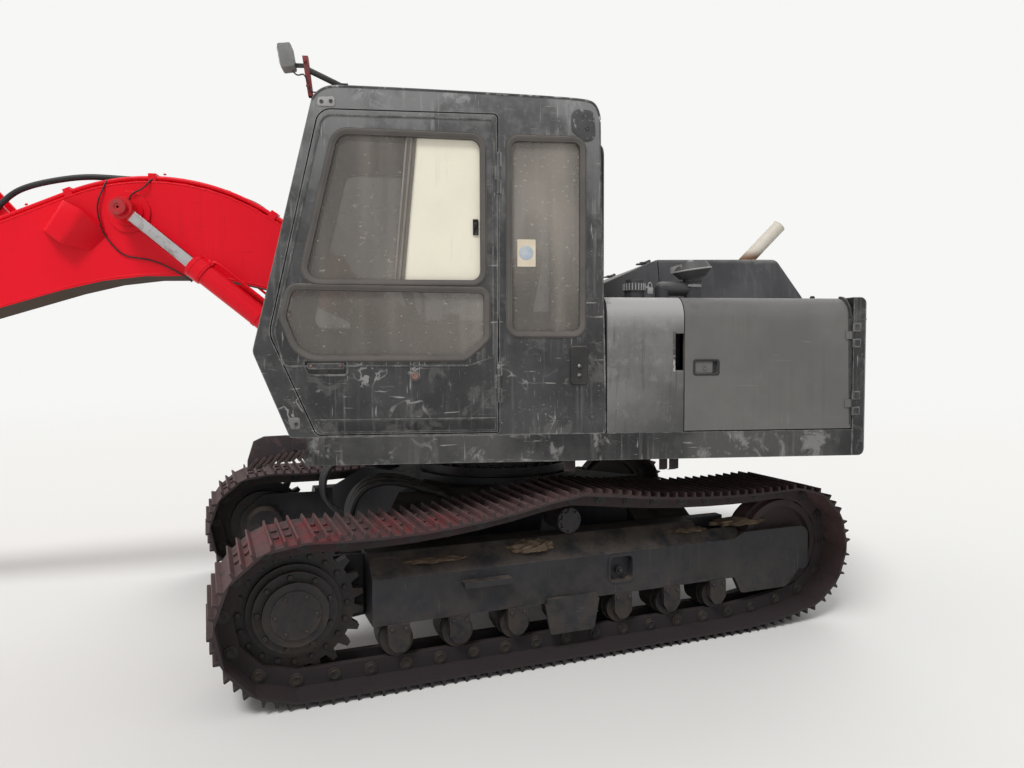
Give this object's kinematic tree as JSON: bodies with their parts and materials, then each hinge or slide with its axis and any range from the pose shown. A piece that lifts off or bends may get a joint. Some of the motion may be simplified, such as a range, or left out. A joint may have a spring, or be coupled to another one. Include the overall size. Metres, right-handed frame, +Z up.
{
  "type": "crawler excavator",
  "caption": "Crawler excavator with a side cab, curved boom, arm and bucket on tracks turned slightly under the house; boom, arm and bucket move on hydraulic cylinders.",
  "frame": {"origin": "on the slewing axis, at the ground under the tracks", "axes": "+X forwards where the boom points, +Y to the driver's left, +Z up"},
  "size_m": [10.0063, 3.3328, 3.0413],
  "materials": {
    "black_paint": "worn matt black paint with scuffed edges",
    "red_paint": "glossy red paint with scratches",
    "rusty_steel": "bare rusty steel with remains of red paint",
    "dark_steel": "greasy dark steel",
    "chrome": "ground and chromed",
    "cream_paint": "stained cream paint",
    "glass": "dusty clear glass",
    "seat_cloth": "dark worn cloth",
    "dark_plastic": "moulded"
  },
  "bodies": {
    "undercarriage": {"carbody": "black_paint", "slew_ring": "dark_steel", "track_frame_left": "black_paint", "track_frame_right": "black_paint", "track_left": "rusty_steel", "track_right": "rusty_steel", "sprocket_left": "dark_steel", "sprocket_right": "dark_steel", "idler_left": "rusty_steel", "idler_right": "rusty_steel", "rollers_left": "dark_steel", "rollers_right": "dark_steel"},
    "house": {"revolving_frame": "black_paint", "deck_left": "black_paint", "deck_right": "black_paint", "counterweight": "black_paint", "engine_block": "dark_steel", "left_panel": "black_paint", "front_cover": "black_paint", "side_covers": "black_paint", "air_intake": "black_paint", "oil_tank": "black_paint", "fuel_tank": "black_paint", "tool_box": "black_paint", "cab_shell": "black_paint", "cab_glass": "glass", "seat": "seat_cloth", "consoles": "dark_plastic", "roof_lamp": "dark_steel"},
    "engine_hood": {"engine_hood": "black_paint", "exhaust": "cream_paint"},
    "left_engine_door": {"left_engine_door": "black_paint"},
    "right_engine_door": {"right_engine_door": "black_paint"},
    "cab_door": {"cab_door": "black_paint", "door_glass": "glass", "door_blank_panel": "cream_paint"},
    "boom": {"boom": "red_paint", "boom_lines": "red_paint"},
    "boom_barrels": {"boom_barrels": "red_paint"},
    "boom_rods": {"boom_rods": "chrome"},
    "arm": {"arm": "red_paint"},
    "arm_barrel": {"arm_barrel": "red_paint"},
    "arm_rod": {"arm_rod": "chrome"},
    "bucket_barrel": {"bucket_barrel": "red_paint"},
    "bucket_rod": {"bucket_rod": "chrome"},
    "levers": {"levers": "red_paint"},
    "bucket_link": {"bucket_link": "red_paint"},
    "bucket": {"bucket": "dark_steel"}
  },
  "joints": [
    {"name": "slew", "type": "hinge", "parent": "undercarriage", "child": "house", "pos_m": [0, 0, 0.94], "axis": [0, 0, 1], "continuous": true},
    {"name": "boom_lift", "type": "hinge", "parent": "house", "child": "boom", "pos_m": [0.4, 0, 1.55], "axis": [0, -1, 0], "range_deg": [-30, 48]},
    {"name": "arm_swing", "type": "hinge", "parent": "boom", "child": "arm", "pos_m": [4.95, 0, 1.344], "axis": [0, 1, 0], "range_deg": [-8, 115]},
    {"name": "bucket_curl", "type": "hinge", "parent": "arm", "child": "bucket", "pos_m": [6.84147, 0, 0.43167], "axis": [0, 1, 0], "range_deg": [-22, 108]},
    {"name": "cab_door", "type": "hinge", "parent": "house", "child": "cab_door", "pos_m": [0.097, 1.241, 1.9], "axis": [0, 0, 1], "range_deg": [0, 100]},
    {"name": "engine_hood", "type": "hinge", "parent": "house", "child": "engine_hood", "pos_m": [-0.88, 0, 2.104], "axis": [0, 1, 0], "range_deg": [0, 55]},
    {"name": "left_engine_door", "type": "hinge", "parent": "house", "child": "left_engine_door", "pos_m": [-1.732, 1.237, 1.5], "axis": [0, 0, 1], "range_deg": [0, 100]},
    {"name": "right_engine_door", "type": "hinge", "parent": "house", "child": "right_engine_door", "pos_m": [-1.732, -1.237, 1.5], "axis": [0, 0, -1], "range_deg": [0, 100]},
    {"name": "boom_barrel_swing", "type": "hinge", "parent": "house", "child": "boom_barrels", "pos_m": [0.8, 0, 1.27], "axis": [0, -1, 0], "range_deg": [-30.81, 49.29]},
    {"name": "boom_rod_slide", "type": "slide", "parent": "boom_barrels", "child": "boom_rods", "axis": [0.774, 0, 0.6332], "range_m": [-0.23115, 0.36983]},
    {"name": "arm_barrel_swing", "type": "hinge", "parent": "boom", "child": "arm_barrel", "pos_m": [3.1, 0, 2.54], "axis": [0, 1, 0], "range_deg": [-7.02, 0.49]},
    {"name": "arm_rod_slide", "type": "slide", "parent": "arm_barrel", "child": "arm_rod", "axis": [0.8873, 0, -0.4613], "range_m": [-0.05805, 0.83439]},
    {"name": "lever_swing", "type": "hinge", "parent": "arm", "child": "levers", "pos_m": [6.48119, 0, 0.60544], "axis": [0, 1, 0], "range_deg": [-22, 108]},
    {"name": "link_swing", "type": "hinge", "parent": "levers", "child": "bucket_link", "pos_m": [6.37443, 0, 0.94925], "axis": [0, -1, 0], "range_deg": [-22, 108]},
    {"name": "bucket_barrel_swing", "type": "hinge", "parent": "arm", "child": "bucket_barrel", "pos_m": [5.31695, 0, 1.64441], "axis": [0, 1, 0], "range_deg": [-2.13, 0.43]},
    {"name": "bucket_rod_slide", "type": "slide", "parent": "bucket_barrel", "child": "bucket_rod", "axis": [0.8356, 0, -0.5493], "range_m": [-0.10591, 0.51989]}
  ],
  "couplings": [
    {"joint": "boom_barrel_swing", "follows": "boom_lift", "ratio": 1.0269},
    {"joint": "boom_rod_slide", "follows": "boom_lift", "m_per_rad": 0.44145},
    {"joint": "arm_barrel_swing", "follows": "arm_swing", "ratio": -0.06105},
    {"joint": "arm_rod_slide", "follows": "arm_swing", "m_per_rad": 0.41571},
    {"joint": "lever_swing", "follows": "bucket_curl", "ratio": 1},
    {"joint": "link_swing", "follows": "bucket_curl", "ratio": 1},
    {"joint": "bucket_barrel_swing", "follows": "bucket_curl", "ratio": -0.01973},
    {"joint": "bucket_rod_slide", "follows": "bucket_curl", "m_per_rad": 0.27581}
  ]
}
